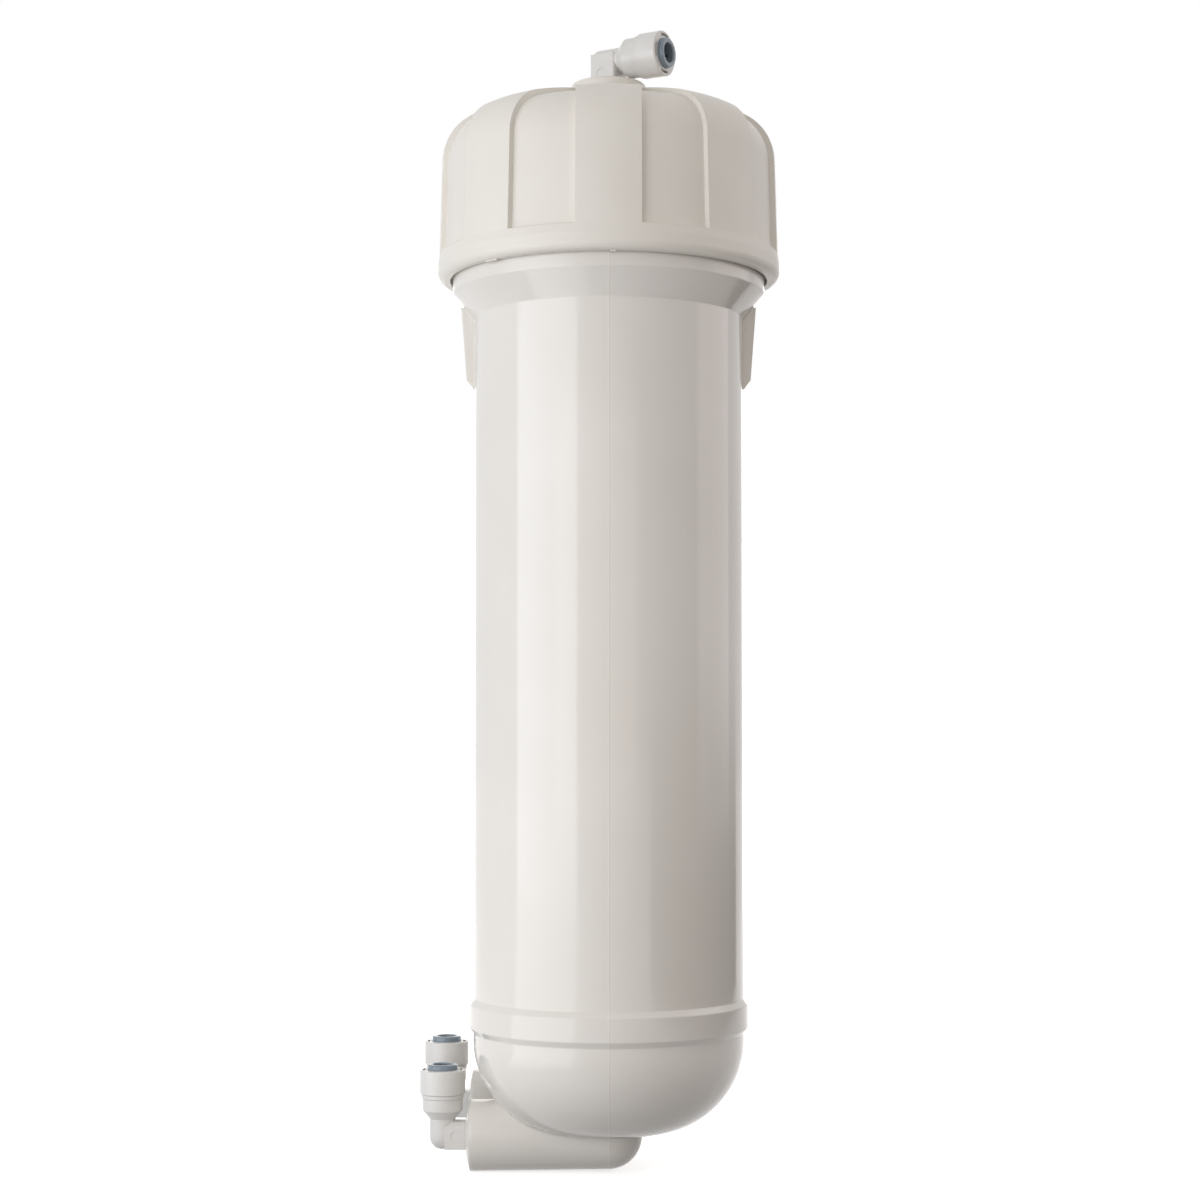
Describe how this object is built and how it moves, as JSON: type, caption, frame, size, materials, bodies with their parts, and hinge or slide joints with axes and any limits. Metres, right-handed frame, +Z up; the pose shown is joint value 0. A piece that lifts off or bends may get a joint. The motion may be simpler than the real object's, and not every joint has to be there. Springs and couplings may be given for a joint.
{
  "type": "membrane pressure vessel",
  "caption": "Upright moulded vessel that holds a wound membrane element under pressure, with a ribbed screw cap on top and quick-connect elbows for feed, permeate and concentrate tube.",
  "frame": {"origin": "on the vessel's axis, at the middle of the band where a clip holds the tube", "axes": "+Z up the vessel's axis towards the cap, +X to the right and -Y towards a reader who faces the mould seam, with the lower fittings on the left (-X)"},
  "size_m": [0.1211, 0.1146, 0.3795],
  "materials": {
    "vessel_plastic": "gloss",
    "cap_plastic": "satin",
    "fitting_plastic": "satin",
    "collet_plastic": "satin",
    "seal_rubber": "matte",
    "spring_steel": "brushed",
    "core_plastic": "satin",
    "membrane_film": "matte",
    "wrap_film": "gloss"
  },
  "bodies": {
    "vessel": {"vessel_body": "vessel_plastic", "permeate_elbow": "fitting_plastic", "permeate_tube_seal": "seal_rubber", "permeate_collar": "fitting_plastic", "concentrate_elbow": "fitting_plastic", "concentrate_tube_seal": "seal_rubber", "concentrate_collar": "fitting_plastic", "core_tube": "core_plastic", "core_plug": "core_plastic", "wound_membrane": "membrane_film", "outer_wrap": "wrap_film", "permeate_end_cap": "core_plastic", "feed_end_cap": "core_plastic", "brine_seal": "seal_rubber", "lower_core_seal": "seal_rubber", "upper_core_seal": "seal_rubber"},
    "cap_seal": {"cap_seal_ring": "seal_rubber"},
    "cap": {"vessel_cap": "cap_plastic", "feed_elbow": "fitting_plastic", "feed_tube_seal": "seal_rubber", "feed_collar": "fitting_plastic"},
    "feed_collet": {"feed_collet": "collet_plastic", "feed_grab_ring": "spring_steel"},
    "permeate_collet": {"permeate_collet": "collet_plastic", "permeate_grab_ring": "spring_steel"},
    "concentrate_collet": {"concentrate_collet": "collet_plastic", "concentrate_grab_ring": "spring_steel"}
  },
  "joints": [
    {"name": "cap_lift", "type": "slide", "parent": "vessel", "child": "cap_seal", "axis": [0, 0, 1], "range_m": [0, 0.0138]},
    {"name": "cap_turn", "type": "hinge", "parent": "cap_seal", "child": "cap", "pos_m": [0, 0, 0.15], "axis": [0, 0, 1], "range_deg": [0, 990]},
    {"name": "feed_collet_push", "type": "slide", "parent": "cap", "child": "feed_collet", "axis": [-0.866, 0.5, 0], "range_m": [0, 0.0015]},
    {"name": "permeate_collet_push", "type": "slide", "parent": "vessel", "child": "permeate_collet", "axis": [0, 0, -1], "range_m": [0, 0.0015]},
    {"name": "concentrate_collet_push", "type": "slide", "parent": "vessel", "child": "concentrate_collet", "axis": [0, 0, -1], "range_m": [0, 0.0015]}
  ],
  "couplings": [
    {"joint": "cap_lift", "follows": "cap_turn", "m_per_rad": 0.00079577}
  ]
}
